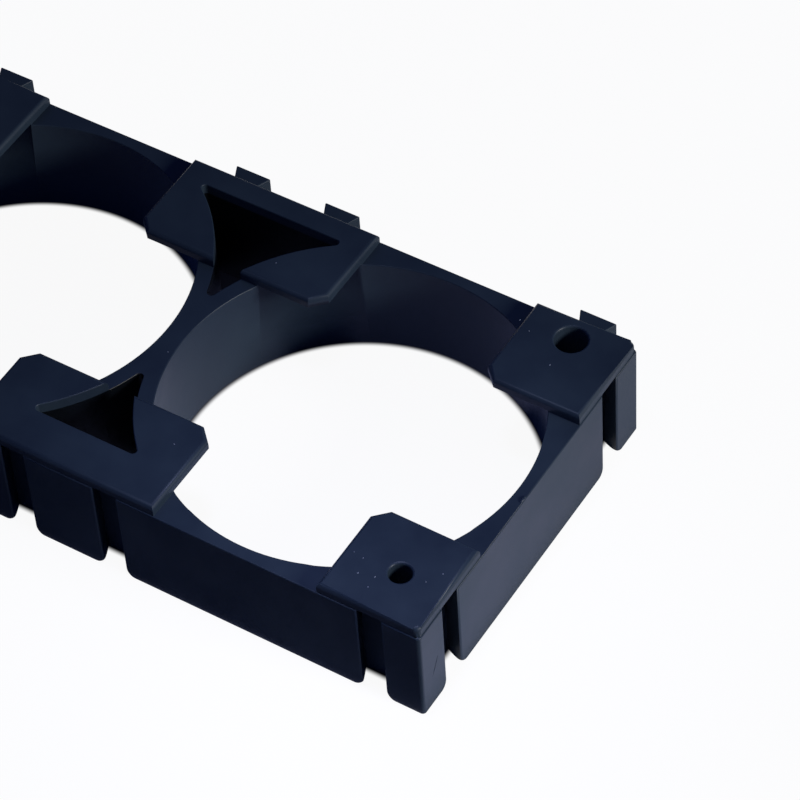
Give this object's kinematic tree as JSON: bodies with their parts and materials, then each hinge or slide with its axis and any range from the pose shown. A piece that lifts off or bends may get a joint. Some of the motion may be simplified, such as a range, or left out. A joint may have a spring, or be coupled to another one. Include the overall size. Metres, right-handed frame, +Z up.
{
  "type": "battery cell holder bracket",
  "caption": "Moulded spacer that holds round battery cells side by side, with stop plates over its bores and dovetail rails and grooves that lock it to like brackets.",
  "frame": {"origin": "middle of the underside, on the web between the bores", "axes": "+X along the row of cells towards the grooved end, +Y across the row towards the railed side, +Z up through the stop plates"},
  "size_m": [0.0719, 0.0369, 0.011],
  "materials": {
    "black_abs": "satin moulded skin, near black with a navy cast"
  },
  "bodies": {
    "root": {"cell_holder_bracket": "black_abs"}
  },
  "joints": []
}
